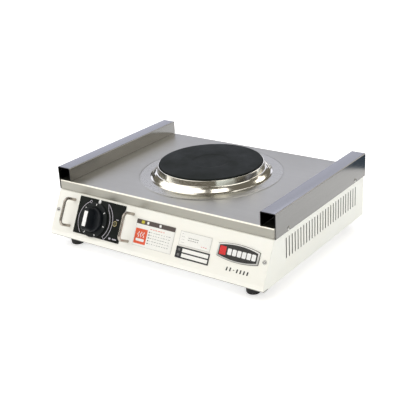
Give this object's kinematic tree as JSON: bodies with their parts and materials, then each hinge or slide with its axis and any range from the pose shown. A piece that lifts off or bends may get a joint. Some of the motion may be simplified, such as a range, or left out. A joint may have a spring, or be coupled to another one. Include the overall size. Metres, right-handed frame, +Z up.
{
  "type": "hot plate burner",
  "caption": "Electric hot plate burner: round cast-iron plate in a polished spill ring on a stainless top with side rails, over a low ivory case with a sloping control panel.",
  "frame": {"origin": "middle of the footprint, on the surface that the feet stand on", "axes": "+X to the burner's right as its user faces it, -Y towards the user (control panel), +Z up"},
  "size_m": [0.4442, 0.3536, 0.134],
  "materials": {
    "stainless": "brushed",
    "rail_steel": "brushed",
    "chrome": "polished",
    "ivory_paint": "satin enamel",
    "cast_iron": "heat-blacked",
    "zinc_steel": "zinc plated",
    "black_plastic": "moulded",
    "dial_black": "printed",
    "white_plastic": "moulded",
    "rubber": "moulded",
    "ceramic": "fired steatite, matt",
    "label_film": "printed film",
    "tab_film": "printed film",
    "badge_metal": "pressed and painted",
    "lamp_glass": "clear, amber",
    "resistance_wire": "oxidised",
    "phenolic": "moulded",
    "lead_sleeve": "woven glass sleeve"
  },
  "bodies": {
    "casing": {"badge": "badge_metal", "base_plate": "zinc_steel", "cable_grommet": "rubber", "caution_label": "label_film", "centre_stud": "zinc_steel", "clamp_bar": "zinc_steel", "clamp_nut": "zinc_steel", "dial_plate": "dial_black", "earth_screw": "zinc_steel", "element_cover": "zinc_steel", "element_ring": "ceramic", "front_foot_left": "rubber", "front_foot_right": "rubber", "front_foot_screw_left": "zinc_steel", "front_foot_screw_right": "zinc_steel", "front_panel": "ivory_paint", "front_screw_left": "zinc_steel", "front_screw_right": "zinc_steel", "heat_shield": "zinc_steel", "hotplate": "cast_iron", "lamp_bezel": "chrome", "lamp_holder": "white_plastic", "lamp_lens": "lamp_glass", "lead_mains_to_plate": "lead_sleeve", "lead_mains_to_regulator": "lead_sleeve", "lead_regulator_to_plate": "lead_sleeve", "left_guard": "chrome", "left_guard_nut_lower": "zinc_steel", "left_guard_nut_upper": "zinc_steel", "left_rail": "rail_steel", "left_rail_screw_front": "zinc_steel", "left_rail_screw_rear": "zinc_steel", "left_side_panel": "ivory_paint", "mains_terminal_block": "phenolic", "plate_terminal_block": "ceramic", "rating_plate": "label_film", "rear_foot_left": "rubber", "rear_foot_right": "rubber", "rear_foot_screw_left": "zinc_steel", "rear_foot_screw_right": "zinc_steel", "rear_panel": "ivory_paint", "rear_screw_left": "zinc_steel", "rear_screw_right": "zinc_steel", "regulator_body": "phenolic", "regulator_screw_lower": "zinc_steel", "regulator_screw_upper": "zinc_steel", "resistance_coil": "resistance_wire", "right_guard": "chrome", "right_guard_nut_lower": "zinc_steel", "right_guard_nut_upper": "zinc_steel", "right_rail": "rail_steel", "right_rail_screw_front": "zinc_steel", "right_rail_screw_rear": "zinc_steel", "right_side_panel": "ivory_paint", "spec_tab": "tab_film", "spill_ring": "chrome", "top_plate": "stainless"},
    "knob": {"control_knob": "black_plastic", "knob_pointer": "white_plastic", "regulator_shaft": "zinc_steel"}
  },
  "joints": [
    {"name": "knob_turn", "type": "hinge", "parent": "casing", "child": "knob", "pos_m": [-0.126, -0.1445, 0.05926], "axis": [0, -0.8846, 0.4664], "range_deg": [-267, 0]}
  ]
}
